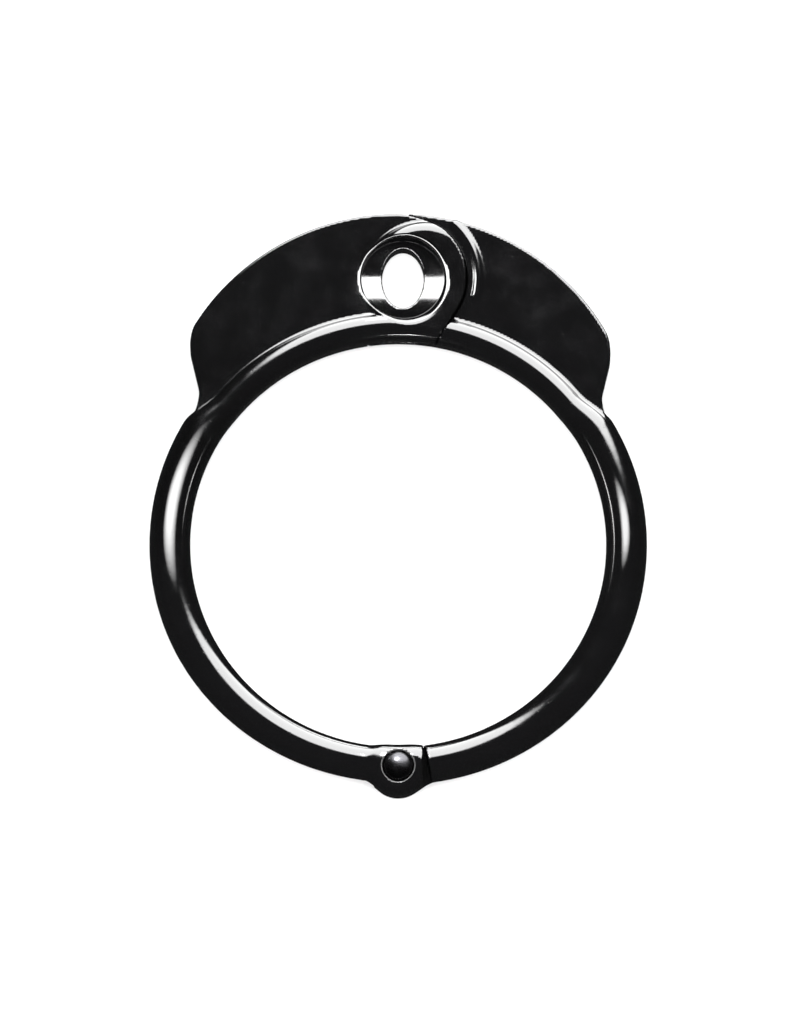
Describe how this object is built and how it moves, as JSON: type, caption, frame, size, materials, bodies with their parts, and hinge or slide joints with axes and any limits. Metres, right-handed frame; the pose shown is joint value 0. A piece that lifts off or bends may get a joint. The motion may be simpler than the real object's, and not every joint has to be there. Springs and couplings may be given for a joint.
{
  "type": "hinged locking ring cuff",
  "caption": "Rigid ring cuff in halves joined by a riveted hinge, with lapped tabs that meet at a counterbored lock seat.",
  "frame": {"origin": "bottom centre of the closed ring's bounding box", "axes": "+Z along the ring's axis, up from the surface it lies on; +Y from the hinge towards the lock seat; +X towards the half that opens"},
  "size_m": [0.0742, 0.0892, 0.0064],
  "materials": {
    "black_plate": "polished casting with a glossy black plating",
    "rivet_steel": "dark polished steel dome"
  },
  "bodies": {
    "left_half": {"left_half_ring": "black_plate", "hinge_rivet": "rivet_steel"},
    "right_half": {"right_half_ring": "black_plate"}
  },
  "joints": [
    {"name": "hinge", "type": "hinge", "parent": "left_half", "child": "right_half", "pos_m": [0, -0.04032, 0.00305], "axis": [0, 0, -1], "range_deg": [0, 90]}
  ]
}
